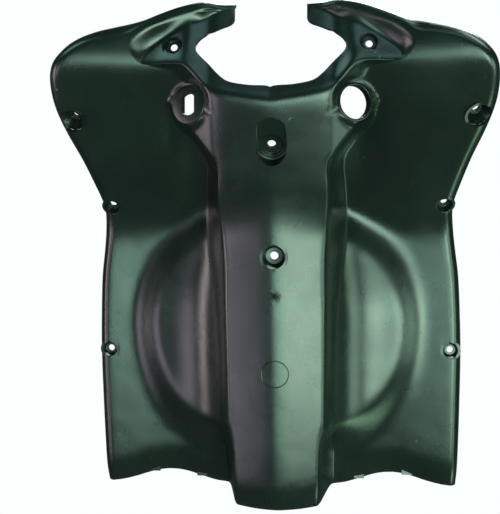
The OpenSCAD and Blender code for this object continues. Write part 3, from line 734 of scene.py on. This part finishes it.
def dirt(nodes):
    """How much dust, scuffs and single marks cover the plastic."""
    cell = nodes.add("ShaderNodeTexVoronoi", {"Vector": nodes.place, "Scale": 95.0}).outputs["Distance"]
    rare = nodes.ramp(nodes.noise(40.0, 2.0), 0.52, 0.62)
    specks = nodes.math("MULTIPLY", nodes.ramp(cell, 0.025, 0.05, 0.6, 0.0), rare)
    along = nodes.add("ShaderNodeMapping", {"Vector": nodes.place, "Rotation": (0.0, 0.6, 0.0),
                                            "Scale": (900.0, 60.0, 25.0)}).outputs[0]
    scuffs = nodes.ramp(nodes.noise(1.0, 2.0, along), 0.70, 0.78, 0.0, 0.10)
    cover = nodes.math("MAXIMUM", specks, scuffs)
    for mark in MARKS:
        cover = nodes.math("MAXIMUM", cover, nodes.spot(*mark))
    return cover


def plastic(finish, form):
    """Black moulded plastic: satin grain, uneven gloss, specks and faint scuffs."""
    material = bpy.data.materials.new("black_moulding")
    material.use_nodes = True
    nodes, links = Nodes(material.node_tree), material.node_tree.links
    shader = material.node_tree.nodes["Principled BSDF"]
    cover = dirt(nodes)
    tint = nodes.ramp(nodes.noise(11.0, 4.0), 0.3, 0.7, 0.75, 1.25)
    clean = nodes.add("ShaderNodeVectorMath", {0: tuple(finish.colour), "Scale": tint},
                      operation="SCALE").outputs[0]
    # Sockets 6, 7 and 2 of a mix node hold its colours
    colour = nodes.add("ShaderNodeMix", {0: cover, 6: clean, 7: (*finish.dust_colour, 1.0)}, data_type="RGBA")
    gloss = nodes.ramp(nodes.noise(22.0, 5.0), 0.3, 0.7, finish.roughness - 0.03, finish.roughness + 0.04)
    rough = nodes.math("ADD", gloss, nodes.math("MULTIPLY", cover, 0.3))
    links.new(colour.outputs[2], shader.inputs["Base Color"])
    links.new(rough, shader.inputs["Roughness"])
    links.new(grain(nodes, form), shader.inputs["Normal"])
    return material


# Lamps: name, turn to the right and up in degrees, width and height in metres, watts, colour
LAMPS = (
    ("key_lamp", 19, -21, (1.30, 0.62), 25.0, (0.57, 1.0, 0.82)),
    ("core_lamp", 26, -22, (0.55, 0.50), 5.5, (0.85, 1.0, 0.65)),
    ("right_lamp", 66, -14, (0.70, 0.90), 12.0, (0.62, 1.0, 0.75)),
    ("low_lamp", 92, -48, (0.60, 0.60), 5.5, (0.55, 1.0, 0.65)),
    ("left_lamp", -42, -24, (0.55, 0.70), 5.0, (0.96, 0.84, 1.0)),
    ("rim_lamp", -76, -8, (0.40, 1.00), 10.0, (1.0, 0.84, 0.88)),
    ("top_lamp", 24, 42, (0.90, 0.60), 3.5, (0.55, 0.97, 1.0)),
    ("left_top_lamp", -62, 48, (0.80, 0.60), 6.0, (0.53, 1.0, 0.87)),
    ("right_top_lamp", 84, 55, (0.70, 0.70), 10.0, (0.70, 1.0, 0.80)),
    ("back_top_lamp", 165, 48, (1.00, 0.60), 20.0, (0.85, 1.0, 0.95)),
)


def light(name, turned_right, raised, size, power, colour):
    """An area lamp that shines on the panel's middle, at a turn and a height round it."""
    side, up = math.radians(turned_right), math.radians(raised)
    direction = Vector((math.sin(side) * math.cos(up), -math.cos(side) * math.cos(up), math.sin(up)))
    bpy.ops.object.light_add(type="AREA")
    lamp = bpy.context.active_object
    lamp.name = name
    lamp.location = direction * LAMP_DISTANCE
    lamp.rotation_euler = direction.to_track_quat("Z", "Y").to_euler()
    lamp.data.shape = "RECTANGLE"
    lamp.data.size, lamp.data.size_y = size
    lamp.data.energy = power
    lamp.data.color = colour


def camera_only_white(tree, output, base, kind):
    """Makes a surface look white to the camera and keep its own shader for light."""
    nodes, links = tree.nodes, tree.links
    path = nodes.new("ShaderNodeLightPath")
    white = nodes.new(kind)
    white.inputs["Color"].default_value = WHITE
    mix = nodes.new("ShaderNodeMixShader")
    links.new(path.outputs["Is Camera Ray"], mix.inputs["Fac"])
    links.new(base.outputs[0], mix.inputs[1])
    links.new(white.outputs[0], mix.inputs[2])
    links.new(mix.outputs[0], output.inputs["Surface"])


def lay_floor():
    """A plain floor below the lamps and out of the photograph's sight, white only to the camera."""
    bpy.ops.mesh.primitive_plane_add(size=FLOOR_SIZE, location=(0.0, 0.0, FLOOR_Z))
    floor = bpy.context.active_object
    floor.name = "floor"
    paint = bpy.data.materials.new("pale_floor")
    paint.use_nodes = True
    nodes = paint.node_tree.nodes
    shader = nodes["Principled BSDF"]
    shader.inputs["Base Color"].default_value = FLOOR_COLOUR
    shader.inputs["Roughness"].default_value = 0.8
    camera_only_white(paint.node_tree, nodes["Material Output"], shader, "ShaderNodeEmission")
    floor.data.materials.append(paint)


class PANEL_OT_moulding(bpy.types.Operator):
    """Model the moulding and give it its finish"""

    bl_idname = "panel.moulding"
    bl_label = "Moulding"

    def execute(self, context):
        moulding = make_moulding(context.scene.panel_sizes)
        moulding.data.materials.clear()
        moulding.data.materials.append(plastic(context.scene.panel_finish, Form(context.scene.panel_sizes)))
        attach(moulding, BODY)
        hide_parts(NODE)
        return {"FINISHED"}


class PANEL_OT_stage(bpy.types.Operator):
    """Set up the camera, the floor and the lamps"""

    bl_idname = "panel.stage"
    bl_label = "Stage"

    def execute(self, context):
        stage = context.scene.panel_stage
        look_along = (Matrix.Rotation(stage.yaw, 3, "Z")
                      @ Matrix.Rotation(math.pi / 2 - stage.pitch, 3, "X"))
        bpy.ops.object.camera_add()
        camera = bpy.context.active_object
        camera.location = look_along @ Vector((*stage.aim, stage.distance)) - Vector(Form.CLAMP) * MM
        camera.rotation_euler = (look_along @ Matrix.Rotation(stage.roll, 3, "Z")).to_euler()
        camera.data.sensor_fit = "HORIZONTAL"
        camera.data.sensor_width = SENSOR_W
        camera.data.lens = SENSOR_W * stage.focal_px / PHOTO_W
        context.scene.camera = camera
        for name, turned_right, raised, size, power, colour in LAMPS:
            light(name, turned_right, raised, size, power * stage.brightness, colour)
        world = bpy.data.worlds.new("studio")
        context.scene.world = world
        world.use_nodes = True
        base = world.node_tree.nodes["Background"]
        base.inputs["Color"].default_value = WORLD_COLOUR
        base.inputs["Strength"].default_value = 1.0
        camera_only_white(world.node_tree, world.node_tree.nodes["World Output"], base,
                          "ShaderNodeBackground")
        lay_floor()
        context.scene.view_settings.view_transform = "Standard"
        return {"FINISHED"}


class PANEL_PT_sidebar(bpy.types.Panel):
    """Lists the sizes and the steps"""

    bl_label = "Inner panel"
    bl_idname = "PANEL_PT_sidebar"
    bl_space_type = "VIEW_3D"
    bl_region_type = "UI"
    bl_category = "Panel"

    def draw(self, context):
        for group in (context.scene.panel_sizes, context.scene.panel_finish, context.scene.panel_stage):
            for name in group.__annotations__:
                self.layout.prop(group, name)
        for operator in OPERATORS:
            self.layout.operator(operator.bl_idname)


GROUPS = {"panel_sizes": PanelSizes, "panel_finish": PanelFinish, "panel_stage": PanelStage}
OPERATORS = (PANEL_OT_moulding, PANEL_OT_stage)


def register():
    for name, group in GROUPS.items():
        bpy.utils.register_class(group)
        setattr(bpy.types.Scene, name, bpy.props.PointerProperty(type=group))
    for cls in (*OPERATORS, PANEL_PT_sidebar):
        bpy.utils.register_class(cls)


def unregister():
    for cls in reversed((*OPERATORS, PANEL_PT_sidebar)):
        bpy.utils.unregister_class(cls)
    for name, group in reversed(GROUPS.items()):
        delattr(bpy.types.Scene, name)
        bpy.utils.unregister_class(group)


def main():
    register()
    bpy.ops.panel.moulding()
    bpy.ops.panel.stage()
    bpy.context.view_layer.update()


if __name__ == "__main__":
    main()
